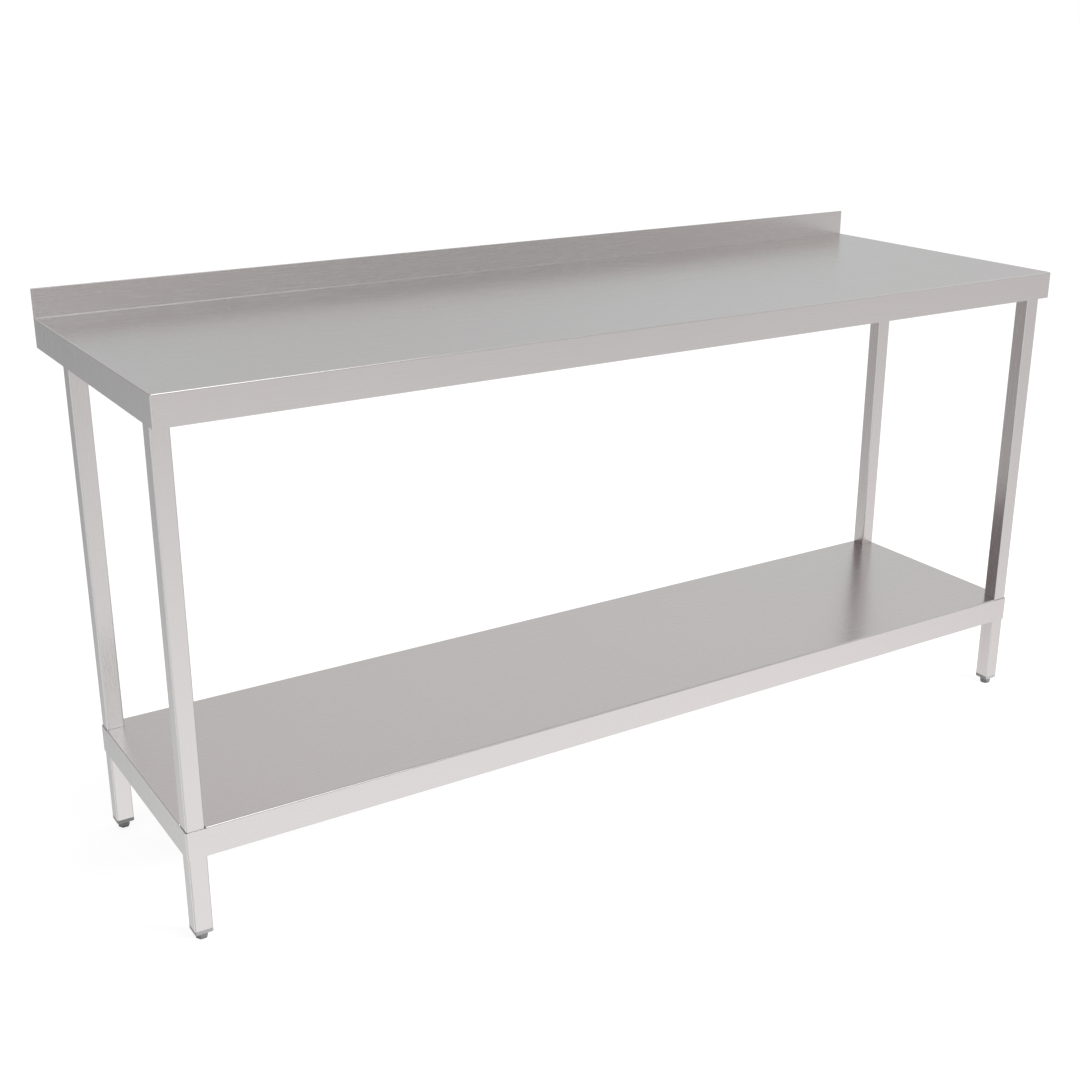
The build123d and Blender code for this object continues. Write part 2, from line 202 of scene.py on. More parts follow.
# The studio's surround, as soft round glows on an even grey. Azimuth is in degrees from +Y
# towards +X, elevation in degrees up; a high focus is a small glow and a low one a wide one.
SURROUND = (0.28, 0.28, 0.28)
GLOWS = (
    # these five only show in bent edges and leg corners
    (115, 40, 14, (0.12, 0.12, 0.12)),
    (-100, -22, 14, (0.33, 0.33, 0.33)),
    (-135, -22, 14, (0.33, 0.33, 0.33)),
    (-75, -18, 55, (0.20, 0.20, 0.20)),
    (-160, -22, 55, (0.20, 0.20, 0.20)),
    # these show in the flat sheets
    (0, 90, 14, (0.33, 0.32, 0.32)),
    (54, 63, 55, (0.40, 0.53, 0.54)),
    (-126, 58, 14, (0.28, 0.27, 0.28)),
    (18, 58, 55, (-0.30, -0.30, -0.32)),
    (-76, 46, 55, (0.43, 0.43, 0.43)),
    (-4, 46, 55, (1.02, 1.04, 1.03)),
    (140, 46, 55, (0.36, 0.27, 0.27)),
    (162, 41, 55, (1.57, 1.46, 1.44)),
    (-18, 32, 14, (-0.42, -0.60, -0.60)),
    (-18, 32, 55, (0.69, 0.95, 0.97)),
    (54, 32, 14, (0.30, 0.24, 0.24)),
    (126, 32, 55, (0.27, 0.19, 0.20)),
    (178, 30, 55, (0.99, 0.94, 0.93)),
    (-126, 27, 14, (0.33, 0.30, 0.30)),
    (18, 27, 14, (0.33, 0.31, 0.30)),
    (90, 27, 14, (0.59, 0.74, 0.73)),
    (90, 27, 55, (-0.46, -0.69, -0.67)),
    (-100, 16, 55, (0.37, 0.34, 0.34)),
    (-8, 16, 55, (0.52, 0.57, 0.56)),
    (44, 16, 55, (0.06, 0.10, 0.08)),
    (136, 16, 55, (0.26, 0.20, 0.18)),
    (9, 15, 55, (0.06, 0.12, 0.13)),
    (171, 15, 55, (0.09, 0.06, 0.05)),
    (-162, 0, 55, (0.63, 0.57, 0.56)),
    (-126, 0, 55, (0.36, 0.34, 0.35)),
    (-90, 0, 55, (0.55, 0.57, 0.57)),
    (-72, 0, 14, (-0.27, -0.34, -0.35)),
    (-72, 0, 55, (0.45, 0.54, 0.55)),
    (-36, 0, 55, (0.55, 0.48, 0.47)),
    (36, 0, 55, (0.18, 0.22, 0.26)),
    (54, 0, 55, (0.28, 0.24, 0.27)),
    (126, 0, 55, (0.24, 0.20, 0.19)),
    (162, 0, 55, (0.18, 0.12, 0.11)),
    (-99, -15, 55, (-0.24, -0.25, -0.25)),
    (-81, -15, 55, (0.62, 0.60, 0.59)),
    (-27, -15, 55, (0.12, 0.11, 0.12)),
    (117, -15, 55, (-0.22, -0.19, -0.18)),
    (-136, -16, 55, (0.41, 0.35, 0.33)),
    (80, -16, 55, (0.38, 0.38, 0.39)),
    (172, -16, 55, (0.11, 0.10, 0.10)),
    (-90, -27, 55, (-0.25, -0.21, -0.20)),
    (54, -27, 14, (0.17, 0.12, 0.12)),
    (126, -27, 14, (0.61, 0.55, 0.54)),
    (-178, -30, 55, (0.29, 0.26, 0.25)),
    (-74, -30, 55, (0.46, 0.47, 0.47)),
    (-34, -30, 55, (0.99, 0.92, 0.89)),
    (-54, -32, 55, (0.67, 0.61, 0.61)),
    (18, -32, 14, (0.59, 0.70, 0.71)),
    (18, -32, 55, (-0.48, -0.65, -0.66)),
    (162, -32, 14, (0.57, 0.53, 0.53)),
    (126, -41, 55, (0.00, 0.07, 0.09)),
    (-162, -58, 14, (0.54, 0.55, 0.55)),
    (-162, -58, 55, (-0.45, -0.46, -0.46)),
    (-90, -58, 14, (0.32, 0.31, 0.32)),
    (54, -58, 14, (0.45, 0.41, 0.42)),
)
BACKDROP = (1.0, 1.0, 1.0)

KEY_PLACE, KEY_TARGET = (1.13, -3.96, 6.46), (0.0, 0.0, 0.8)
FILL_PLACE, FILL_TARGET = (2.0, -3.4, 2.3), (0.0, 0.0, 0.0)

FLOOR_HALF = 60.0
FLOOR_DARK, FLOOR_PALE = (0.30, 0.30, 0.30), (0.31, 0.31, 0.31)
FLOOR_GLOW = 0.85


def studio_world():
    """A world of soft glows for the metal to reflect, behind which the camera sees white."""
    t = Tree(bpy.data.worlds.new("studio"))
    total = SURROUND
    for azimuth, elevation, focus, colour in GLOWS:
        turn, lift = math.radians(azimuth), math.radians(elevation)
        middle = (
            math.sin(turn) * math.cos(lift),
            math.cos(turn) * math.cos(lift),
            math.sin(lift),
        )
        near = t.node("VectorMath", t.coords["Generated"], middle, operation="DOT_PRODUCT")
        front = t.math("MAXIMUM", near.outputs["Value"], 0.0)
        falloff = t.math("POWER", front, focus)
        total = t.node("VectorMath", falloff, colour, total, operation="MULTIPLY_ADD").outputs[0]
    seen = t.node("LightPath").outputs["Is Camera Ray"]
    background = t.node("Background", t.blend(seen, total, BACKDROP))
    t.node("OutputWorld", background.outputs[0])
    return t.owner


def softbox(name, place, target, width, height, radiance):
    """A large soft light of one even brightness, which faces the target."""
    data = bpy.data.lights.new(name, "AREA")
    data.shape = "RECTANGLE"
    data.size = width
    data.size_y = height
    data.energy = radiance * math.pi * width * height
    light = bpy.data.objects.new(name, data)
    light.location = place
    aim = Vector(target) - Vector(place)
    light.rotation_euler = aim.to_track_quat("-Z", "Y").to_euler()
    light.visible_camera = False
    bpy.context.scene.collection.objects.link(light)
    return light


def floor_paint():
    t = Tree(bpy.data.materials.new("floor"))
    tone = t.noise(t.coords["Object"], 1.5, detail=3.0, roughness=0.5)
    return t.surface(
        t.blend(tone, FLOOR_DARK, FLOOR_PALE),
        0.9,
        Metallic=0.0,
        Specular_IOR_Level=0.1,
        Emission_Color=(1.0, 1.0, 1.0, 1.0),
        Emission_Strength=FLOOR_GLOW,
    )


scene = bpy.context.scene
scene.view_settings.view_transform = "Standard"
scene.view_settings.look = "None"
scene.world = studio_world()

# one far softbox, high to the front right, draws the bright lines on the bent edges
softbox("key_light", KEY_PLACE, KEY_TARGET, width=2.2, height=4.0, radiance=1.2)
# lights the fronts of the dull plastic feet; the steel doesn't mirror it
fill = softbox("fill_light", FILL_PLACE, FILL_TARGET, width=1.6, height=1.0, radiance=45.0)
fill.visible_glossy = False

bm = bmesh.new()
floor_corners = [(-1, -1), (1, -1), (1, 1), (-1, 1)]
bm.faces.new([bm.verts.new((x * FLOOR_HALF, y * FLOOR_HALF, 0.0)) for x, y in floor_corners])
floor = mesh_piece("floor", bm)
floor.visible_glossy = False
floor.visible_shadow = False
floor.data.materials.append(floor_paint())


# ================================================================ materials

STEEL = (0.80, 0.80, 0.80)
STEEL_ROUGHNESS = 0.25
# brush strokes, as width and length in mm
STROKES = {"fine": (0.35, 45.0), "medium": (1.4, 160.0), "broad": (7.0, 700.0)}
# how much each pattern changes the steel's roughness and its brightness
ROUGHNESS_SPREADS = {"fine": 0.14, "medium": 0.03, "patches": 0.025, "smears": 0.012}
BRIGHTNESS_SPREADS = {"fine": 0.10, "medium": 0.015, "broad": 0.01, "patches": 0.015, "grit": 0.10}
DARKEST, BRIGHTEST = 0.8, 1.2
# a face whose normal has more of X than this is an end of the table
END_FACE = 0.7
# the most that a normal has along one axis in the middle of a bend, and at its edges
BEND_FULL, BEND_NONE = 0.72, 0.995
BEND_ROUGHER, BEND_BRIGHTER = -0.06, 0.05
# the fold under the upstand: its steel colour, darkened as painted shade to dim the highlight
# along the fold, how much rougher it is, and where it lies
FOLD_PAINTED_SHADE = (0.43, 0.43, 0.43)
FOLD_ROUGHER = 0.28
FOLD_START = cad_box[1].y - 0.0052
FOLD_FLOOR = cad_box[1].z - 0.0505

GALVANISED_DARK, GALVANISED_PALE = (0.36, 0.38, 0.40), (0.66, 0.68, 0.69)
ZINC_DARK, ZINC_PALE = (0.50, 0.52, 0.56), (0.72, 0.72, 0.70)
PLUG_DARK, PLUG_PALE = (0.25, 0.253, 0.257), (0.31, 0.313, 0.318)
FOOT_DARK, FOOT_PALE = (0.13, 0.131, 0.134), (0.21, 0.211, 0.215)
RUBBER, RUBBER_DUST = (0.12, 0.12, 0.121), (0.24, 0.235, 0.225)
WELD_BARE, WELD_STRAW, WELD_BLUE = (0.50, 0.47, 0.44), (0.42, 0.34, 0.22), (0.20, 0.22, 0.30)


def brushed_steel(name, grain_along_z=False):
    """Satin stainless sheet with a fine brushed grain.

    The grain runs along X and down the ends, as on one folded blank, or up a leg.
    """
    t = Tree(bpy.data.materials.new(name))
    place = t.coords["Object"]
    x, y, z = t.split(place)
    nx, ny, nz = t.split(t.coords["Normal"])
    if grain_along_z:
        along, across = z, t.math("SUBTRACT", x, y)
    else:
        end = t.math("GREATER_THAN", t.math("ABSOLUTE", nx), END_FACE)
        not_end = t.math("SUBTRACT", 1.0, end)
        along = t.math("ADD", t.math("MULTIPLY", x, not_end), t.math("MULTIPLY", z, end))
        across = t.math("SUBTRACT", y, t.math("MULTIPLY", z, not_end))

    # brush strokes of three widths, and patches and smears where the finish is a little uneven
    patterns = {}
    for pattern, (width_mm, length_mm) in STROKES.items():
        lane = t.join(
            t.math("MULTIPLY", along, 1000.0 / length_mm),
            t.math("MULTIPLY", across, 1000.0 / width_mm),
            width_mm,
        )
        patterns[pattern] = t.noise(lane, 1.0, detail=2.0, roughness=0.55)
    smear = t.join(t.math("MULTIPLY", along, 2.2), t.math("MULTIPLY", across, 9.0), 3.0)
    patterns["smears"] = t.noise(smear, 1.0, detail=4.0, roughness=0.6, distortion=0.6)
    patterns["patches"] = t.noise(place, 5.0, detail=3.0, roughness=0.6)
    patterns["grit"] = t.noise(place, 900.0, detail=2.0, roughness=0.6)

    # bends are polished by handling: there no axis holds the whole normal
    main_axis = t.math("MAXIMUM", t.math("ABSOLUTE", ny), t.math("ABSOLUTE", nz))
    main_axis = t.math("MAXIMUM", t.math("ABSOLUTE", nx), main_axis)
    bend = t.remap(main_axis, BEND_FULL, BEND_NONE, 1.0, 0.0)
    # the belt can't reach into the fold under the upstand, which stays rougher; its colour there
    # is darkened too, as painted shade that dims the fold's highlight
    behind = t.math("GREATER_THAN", y, FOLD_START)
    above = t.math("GREATER_THAN", z, FOLD_FLOOR)
    facing_front = t.math("LESS_THAN", ny, 0.0)
    fold_rough_and_painted_shade = t.math("MULTIPLY", t.math("MULTIPLY", behind, above), facing_front)
    fold_rough_and_painted_shade = t.math("MULTIPLY", fold_rough_and_painted_shade, bend)

    rough = STEEL_ROUGHNESS
    for pattern, spread in ROUGHNESS_SPREADS.items():
        rough = t.vary(rough, patterns[pattern], spread)
    rough = t.math("MULTIPLY_ADD", bend, BEND_ROUGHER, rough)
    rough = t.math("MULTIPLY_ADD", fold_rough_and_painted_shade, FOLD_ROUGHER, rough, clamp=True)

    light = 1.0
    for pattern, spread in BRIGHTNESS_SPREADS.items():
        light = t.vary(light, patterns[pattern], spread)
    light = t.math("MULTIPLY_ADD", bend, BEND_BRIGHTER, light)
    dark, bright = [tuple(factor * c for c in STEEL) for factor in (DARKEST, BRIGHTEST)]
    colour = t.blend(t.remap(light, DARKEST, BRIGHTEST, 0.0, 1.0), dark, bright)
    # painted shade: the fold's colour is darkened to dim the highlight along it
    colour = t.blend(fold_rough_and_painted_shade, colour, FOLD_PAINTED_SHADE)

    height = t.math("ADD", patterns["fine"], t.math("MULTIPLY", patterns["medium"], 1.5))
    height = t.math("ADD", height, t.math("MULTIPLY", patterns["grit"], 0.8))
    normal = t.bump(height, strength=0.11, distance=0.00006)
    waves = t.noise(place, 2.6, detail=1.0, roughness=0.4)
    normal = t.bump(waves, strength=0.08, distance=0.0006, normal=normal)
    return t.surface(colour, rough, normal, Metallic=1.0)


def galvanised():
    """Hot-dip zinc on the hidden rails and channels, with its spangle and a dull bloom."""
    t = Tree(bpy.data.materials.new("galvanised"))
    place = t.coords["Object"]
    spangle = t.cell_shades(place, 95.0)
    bloom = t.noise(place, 14.0, detail=5.0, roughness=0.65)
    grains = t.noise(place, 700.0, detail=2.0, roughness=0.5)
    fine = t.noise(place, 140.0, detail=3.0, roughness=0.6)
    paleness = t.math("MULTIPLY_ADD", spangle, 0.45, t.math("MULTIPLY", bloom, 0.55))
    colour = t.blend(paleness, GALVANISED_DARK, GALVANISED_PALE)
    rough = t.math("MULTIPLY_ADD", spangle, 0.16, t.math("MULTIPLY_ADD", bloom, 0.3, 0.22))
    height = t.math("ADD", t.math("MULTIPLY", spangle, 0.5), t.math("ADD", grains, fine))
    normal = t.bump(height, strength=0.3, distance=0.00012)
    return t.surface(colour, rough, normal, Metallic=0.9)


def zinc_plated():
    """Bright zinc plate on bolts, washers, nuts and studs, a little blue and worn."""
    t = Tree(bpy.data.materials.new("zinc"))
    place = t.coords["Object"]
    tarnish = t.noise(place, 120.0, detail=4.0, roughness=0.6)
    tooling = t.noise(t.stretch(place, 900.0, 900.0, 2600.0), 1.0, detail=2.0, roughness=0.5)
    colour = t.blend(tarnish, ZINC_DARK, ZINC_PALE)
    rough = t.math("MULTIPLY_ADD", tarnish, 0.28, t.math("MULTIPLY_ADD", tooling, 0.14, 0.13))
    height = t.math("ADD", tooling, t.math("MULTIPLY", tarnish, 0.6))
    normal = t.bump(height, strength=0.25, distance=0.00005)
    return t.surface(colour, rough, normal, Metallic=1.0)


def moulded_plastic(name, dark, pale, roughness):
    """Injection moulded plastic with a fine eroded texture, faint flow marks and scuffs."""
    t = Tree(bpy.data.materials.new(name))
    place = t.coords["Object"]
    texture = t.noise(place, 2400.0, detail=2.0, roughness=0.6)
    stretched = t.stretch(place, 60.0, 60.0, 240.0)
    flow = t.noise(stretched, 1.0, detail=3.0, roughness=0.6, distortion=0.8)
    scuffs = t.remap(t.noise(place, 420.0, detail=5.0, roughness=0.7), 0.56, 0.70, 0.0, 1.0)
    paleness = t.math("MULTIPLY_ADD", scuffs, 0.45, t.math("MULTIPLY", flow, 0.55), clamp=True)
    colour = t.blend(paleness, dark, pale)
    rough = t.math("MULTIPLY_ADD", scuffs, 0.12, roughness - 0.07)
    rough = t.math("MULTIPLY_ADD", texture, 0.14, rough)
    height = t.math("ADD", texture, t.math("MULTIPLY", flow, 0.7))
    normal = t.bump(height, strength=0.4, distance=0.00008)
    return t.surface(colour, rough, normal, Metallic=0.0)


def rubber():
    """Soft pad under each foot, dull, with floor dust low down."""
    t = Tree(bpy.data.materials.new("pad_rubber"))
    place = t.coords["Object"]
    grain = t.noise(place, 1800.0, detail=3.0, roughness=0.6)
    low_down = t.remap(t.split(place)[2], 0.0, 3.0 * MM, 1.0, 0.25)
    dust = t.math("MULTIPLY", t.noise(place, 260.0, detail=4.0, roughness=0.65), low_down)
    colour = t.blend(dust, RUBBER, RUBBER_DUST)
    rough = t.math("MULTIPLY_ADD", grain, 0.15, 0.72)
    normal = t.bump(grain, strength=0.5, distance=0.0001)
    return t.surface(colour, rough, normal, Metallic=0.0)


def welded():
    """Bare weld bead, bright on its ripples, with straw and blue heat colours in patches."""
    t = Tree(bpy.data.materials.new("weld"))
    place = t.coords["Object"]
    heat = t.noise(place, 260.0, detail=4.0, roughness=0.6)
    fine = t.noise(place, 1500.0, detail=3.0, roughness=0.6)
    straw = t.blend(t.remap(heat, 0.35, 0.62, 0.0, 1.0), WELD_BARE, WELD_STRAW)
    colour = t.blend(t.remap(heat, 0.60, 0.72, 0.0, 1.0), straw, WELD_BLUE)
    rough = t.math("MULTIPLY_ADD", fine, 0.25, 0.25)
    normal = t.bump(fine, strength=0.35, distance=0.0001)
    return t.surface(colour, rough, normal, Metallic=1.0)


sheet_steel = brushed_steel("stainless_sheet")
leg_steel = brushed_steel("stainless_leg", grain_along_z=True)
zinc_coat = galvanised()
zinc_bright = zinc_plated()
plug_plastic = moulded_plastic("plug_plastic", PLUG_DARK, PLUG_PALE, roughness=0.36)
foot_plastic = moulded_plastic("foot_plastic", FOOT_DARK, FOOT_PALE, roughness=0.34)
pad_rubber = rubber()
weld_steel = welded()


def dress(material, *names):
    """Gives CAD nodes their finish."""
    for name in names:
        finishes = nodes[name].data.materials
        finishes.clear()
        finishes.append(material)


dress(sheet_steel, "worktop", "shelf")
dress(zinc_coat, *RAILS, *CHANNELS)
dress(zinc_bright, "rail_rivet_nuts", "leg_rivet_nuts")
for corner in CORNERS:
    dress(leg_steel, f"leg_{corner}", f"leg_plate_{corner}", f"shelf_bracket_{corner}")
    dress(zinc_bright, f"foot_nut_{corner}")


# ================================================================ shapes


def outline(sides, across, corner_radius, per_corner=6, turn=0.0):
    """Points round a regular polygon with rounded corners; across is flat to flat."""
    apothem = across / 2
    reach = (apothem - corner_radius) / math.cos(math.pi / sides)
    points = []
    for side in range(sides):
        middle = turn + math.tau * (side + 0.5) / sides
        for step in range(per_corner):
            angle = middle + (step / (per_corner - 1) - 0.5) * math.tau / sides
            points.append(
                (
                    reach * math.cos(middle) + corner_radius * math.cos(angle),
                    reach * math.sin(middle) + corner_radius * math.sin(angle),
                )
            )
    return points


def circle(radius, segments):
    """Evenly spaced points round a circle."""
    return outline(segments, 2 * radius, radius, 2)[::2]


def circle_like(points, radius):
    """A circle whose points stand at the same angles as the given outline's."""
    angles = [math.atan2(y, x) for x, y in points]
    return [(radius * math.cos(angle), radius * math.sin(angle)) for angle in angles]


def level(points, z):
    return [(x, y, z) for x, y in points]


def loft(bm, place, rings, closed=False):
    """Joins rings of equal count with quads. A closed loft meets itself, any other is capped."""
    made = [[bm.verts.new(place @ Vector(p)) for p in ring] for ring in rings]
    pairs = list(zip(made, made[1:])) + ([(made[-1], made[0])] if closed else [])
    for below, above in pairs:
        for i in range(len(below)):
            j = (i + 1) % len(below)
            bm.faces.new((below[i], below[j], above[j], above[i]))
    if not closed:
        bm.faces.new(reversed(made[0]))
        bm.faces.new(made[-1])


def finished(name, bm, material, sharp_degrees=32.0):
    """Makes the piece, with smooth shading except across real edges."""
    bmesh.ops.recalc_face_normals(bm, faces=bm.faces)
    piece = mesh_piece(name, bm)
    piece.data.polygons.foreach_set("use_smooth", [True] * len(piece.data.polygons))
    piece.data.set_sharp_from_angle(angle=math.radians(sharp_degrees))
    piece.data.materials.append(material)
    return piece


def islands(name):
    """Lowest and highest corners of each separate solid in a CAD node, in a fixed order."""
    bm = bmesh.new()
    bm.from_mesh(nodes[name].data)
    bmesh.ops.remove_doubles(bm, verts=bm.verts, dist=1e-6)
    left, found = set(bm.verts), []
    while left:
        group, queue = set(), [left.pop()]
        while queue:
            vert = queue.pop()
            group.add(vert)
            for edge in vert.link_edges:
                other = edge.other_vert(vert)
                if other in left:
                    left.discard(other)
                    queue.append(other)
        ends = [[pick(v.co[axis] for v in group) for axis in range(3)] for pick in (min, max)]
        found.append(tuple(Vector(end) for end in ends))
    bm.free()
    return sorted(found, key=lambda box: tuple(round(c, 4) for c in box[0]))


def standing(centre, direction):
    """The matrix that puts local z=0 at the centre and local +z along the direction."""
    turned = Vector(direction).to_track_quat("Z", "Y").to_matrix().to_4x4()
    return Matrix.Translation(centre) @ turned


# a 60 degree thread, as shares of its pitch: how deep it is cut, the half widths of its ridge at
# root and crest, how far the ridge goes into the core, and the chamfer at the rod's ends
THREAD_DEPTH = 0.6134
RIDGE_ROOT, RIDGE_CREST = 0.39, 0.0625
RIDGE_BURIED = 0.04
ROD_CHAMFER = 0.3
# the ridge starts half a pitch from the ends, and rises to its height in this share of a turn
RIDGE_LEAD, RIDGE_RISE = 0.5, 0.6
# at its ends it still has this share of its height, so that no face is flat
RIDGE_LOWEST = 0.02


def thread(bm, place, start, end, major, pitch, segments=32):
    """A threaded rod along z: a plain core with one closed 60 degree ridge wound round it."""
    minor = major - THREAD_DEPTH * pitch
    chamfer = ROD_CHAMFER * pitch
    core = circle(minor, segments)
    tip = circle_like(core, minor - chamfer)
    rod = [(tip, start), (core, start + chamfer), (core, end - chamfer), (tip, end)]
    loft(bm, place, [level(points, z) for points, z in rod])
    lead = RIDGE_LEAD * pitch
    turns = (end - start - 2 * lead) / pitch
    steps = int(turns * segments)
    buried = minor - RIDGE_BURIED * pitch
    rise_steps = RIDGE_RISE * segments
    rings = []
    for step in range(steps + 1):
        angle = math.tau * step / segments
        z = start + lead + pitch * step / segments
        rise = min(1.0, step / rise_steps, (steps - step) / rise_steps)
        crest = buried + max(rise, RIDGE_LOWEST) * (major - buried)
        profile = (
            (buried, -RIDGE_ROOT),
            (crest, -RIDGE_CREST),
            (crest, RIDGE_CREST),
            (buried, RIDGE_ROOT),
        )
        x, y = math.cos(angle), math.sin(angle)
        rings.append([(r * x, r * y, z + w * pitch) for r, w in profile])
    loft(bm, place, rings)


def hex_head(bm, place, across, height):
    """A bolt head from its bearing face at z=0 up, with the turned chamfer round its top."""
    per_flat = 12
    face_radius = 0.475 * across
    washer_face = 0.03 * across
    slope = math.tan(math.radians(30.0))
    flat = []
    for side in range(6):
        for step in range(per_flat):
            offset = math.radians(60.0 * step / per_flat - 30.0)
            angle = offset + math.radians(60.0 * side)
            reach = across / 2 / math.cos(offset)
            flat.append((reach * math.cos(angle), reach * math.sin(angle)))
    rings = [
        level(circle_like(flat, 0.46 * across), 0.0),
        level(circle_like(flat, 0.47 * across), washer_face),
        level(flat, washer_face),
        [(x, y, height - max(0.0, math.hypot(x, y) - face_radius) * slope) for x, y in flat],
        level(circle_like(flat, face_radius), height),
        level(circle_like(flat, 0.80 * face_radius), height),
        level(circle_like(flat, 0.74 * face_radius), height - 0.015 * across),
    ]
    loft(bm, place, rings)


def washer(bm, place, outer, inner, thickness):
    ring = circle(outer, 48)
    soft = 0.15 * thickness
    profile = [
        (inner, soft),
        (inner + soft, 0.0),
        (outer - soft, 0.0),
        (outer, soft),
        (outer, thickness - soft),
        (outer - soft, thickness),
        (inner + soft, thickness),
        (inner, thickness - soft),
    ]
    loft(bm, place, [level(circle_like(ring, r), z) for r, z in profile], closed=True)


# ================================================================ fasteners


def bolt_group(node, body, axis, head_mm, shank_mm, pitch_mm):
    """Real threaded bolts with chamfered heads in place of a node's plain ones."""
    bm = bmesh.new()
    head = head_mm * MM
    other_axes = [a for a in range(3) if a != axis]
    for low, high in islands(node):
        across = min(high[a] - low[a] for a in other_axes)
        middle = (low + high) / 2
        # the head is the end that faces the middle of the table, or the floor
        head_at_low = axis == 2 or middle[axis] > 0
        head_end = low if head_at_low else high
        direction = Vector((0.0, 0.0, 0.0))
        direction[axis] = -1.0 if head_at_low else 1.0
        bearing = Vector(middle)
        bearing[axis] = head_end[axis] - direction[axis] * head
        length = high[axis] - low[axis] - head
        place = standing(bearing, direction)
        hex_head(bm, place, across, head)
        # the thread's near end is hidden inside the head
        thread(bm, place, -length, 0.3 * MM, shank_mm * MM / 2, pitch_mm * MM, 24)
    piece = finished(f"{node}_detail", bm, zinc_bright)
    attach(piece, body)
    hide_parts(node)


def washer_group(node, body, axis, bore_mm):
    """Washers with softened edges in place of a node's plain ones."""
    bm = bmesh.new()
    other_axes = [a for a in range(3) if a != axis]
    for low, high in islands(node):
        outer = (high[other_axes[0]] - low[other_axes[0]]) / 2
        bottom = (low + high) / 2
        bottom[axis] = low[axis]
        direction = Vector((0.0, 0.0, 0.0))
        direction[axis] = 1.0
        place = standing(bottom, direction)
        washer(bm, place, outer, bore_mm * MM / 2, high[axis] - low[axis])
    piece = finished(f"{node}_detail", bm, zinc_bright)
    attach(piece, body)
    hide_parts(node)


bolt_group("leg_plate_bolts", "frame", axis=2, head_mm=5.3, shank_mm=7.9, pitch_mm=1.25)
bolt_group("shelf_bolts", "frame", axis=0, head_mm=4.0, shank_mm=5.9, pitch_mm=1.0)
washer_group("leg_plate_washers", "frame", axis=2, bore_mm=9.0)
washer_group("shelf_washers", "frame", axis=0, bore_mm=7.0)


# ================================================================ welds

BEAD_SIZE_MM = 2.6
BEAD_RIPPLE_MM, BEAD_RIPPLES = 0.22, 15.0
BEAD_SWAY_MM, BEAD_SWAYS = 0.12, 37.0
BEAD_END_GAP = 2.0 * MM
BEAD_BURIED = 0.3 * MM

SPOT_INSET_MM = 7.5
FLANGE_MM = 1.5
# a spot weld's dimple under a flange: radius and height in mm
DIMPLE = ((2.9, 0.02), (2.5, -0.14), (2.1, -0.16), (1.7, -0.02), (1.1, 0.02))


def fillet_weld(corner):
    """The bead between a leg's inner face and the underside of its top plate."""
    leg_low, leg_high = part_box(f"leg_{corner}")
    inward = 1.0 if leg_low.x < 0 else -1.0
    face_x = leg_high.x if inward > 0 else leg_low.x
    top = leg_high.z
    start, end = leg_low.y + BEAD_END_GAP, leg_high.y - BEAD_END_GAP
    steps = 60
    bm = bmesh.new()
    rings = []
    for step in range(steps + 1):
        share = step / steps
        y = start + (end - start) * share
        fade = min(1.0, 8.0 * share, 8.0 * (1.0 - share)) ** 0.5
        ripple = BEAD_RIPPLE_MM * (share * BEAD_RIPPLES % 1.0) ** 2
        sway = BEAD_SWAY_MM * math.sin(BEAD_SWAYS * share + inward)
        size = (BEAD_SIZE_MM + ripple + sway) * MM * max(fade, 0.15)
        ring = [(BEAD_BURIED, BEAD_BURIED)]
        for spoke in range(7):
            angle = math.pi / 2 * spoke / 6
            bulge = size * (0.80 + 0.20 * math.sin(2 * angle))
            ring.append((-bulge * math.cos(angle), -bulge * math.sin(angle)))
        rings.append([(face_x - inward * u, y, top + w) for u, w in ring])
    loft(bm, Matrix.Identity(4), rings)
    piece = finished(f"leg_weld_{corner}", bm, weld_steel, 50.0)
    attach(piece, "frame")


def spot_welds(name, channel_names, spacing_mm):
    """Rows of spot weld dimples along both flanges of each channel."""
    bm = bmesh.new()
    unit_circle = circle(1.0, 20)
    rings = []
    for radius, z in DIMPLE:
        ring = [(radius * MM * x, radius * MM * y) for x, y in unit_circle]
        rings.append(level(ring, z * MM))
    for channel in channel_names:
        low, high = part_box(channel)
        lengthwise = 0 if high.x - low.x > high.y - low.y else 1
        across = 1 - lengthwise
        length = high[lengthwise] - low[lengthwise]
        count = int(length / (spacing_mm * MM))
        for side in (low[across] + SPOT_INSET_MM * MM, high[across] - SPOT_INSET_MM * MM):
            for i in range(count):
                spot = Vector((0.0, 0.0, high.z - FLANGE_MM * MM))
                spot[across] = side
                spot[lengthwise] = low[lengthwise] + length * (i + 0.5) / count
                loft(bm, Matrix.Translation(spot), rings)
    piece = finished(name, bm, zinc_coat, 60.0)
    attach(piece, "frame")


for corner in CORNERS:
    fillet_weld(corner)
spot_welds("rail_spot_welds", RAILS, spacing_mm=120.0)
spot_welds("channel_spot_welds", CHANNELS, spacing_mm=110.0)


# ================================================================ levelling feet

STUD_PITCH = 1.5 * MM
HEX_CORNER = 0.6 * MM

# foot body: how far its six sides stand in, at heights above its bottom and below its top, in mm
BODY_LOW = ((1.1, 0.0), (0.85, 0.2), (0.62, 0.7), (0.52, 1.4))
BODY_HIGH = ((0.0, 2.2), (0.08, 1.9), (0.30, 1.6))
# its collar: radius as a share of the width across flats, and mm below the top
COLLAR = ((0.455, 1.45), (0.445, 0.35), (0.425, 0.0))
# its socket for the pad's boss
SOCKET_RADIUS, SOCKET_DEPTH = 3.0 * MM, 4.0 * MM

# pad, in mm: radius and height of its underside, from the middle out
TREAD = (
    (0.0, 0.25), (2.0, 0.25), (2.2, 0.0), (4.0, 0.0), (4.2, 0.45), (4.9, 0.45),
    (5.1, 0.0), (6.2, 0.0), (6.4, 0.45), (7.0, 0.45), (7.2, 0.0), (7.6, 0.0),
)
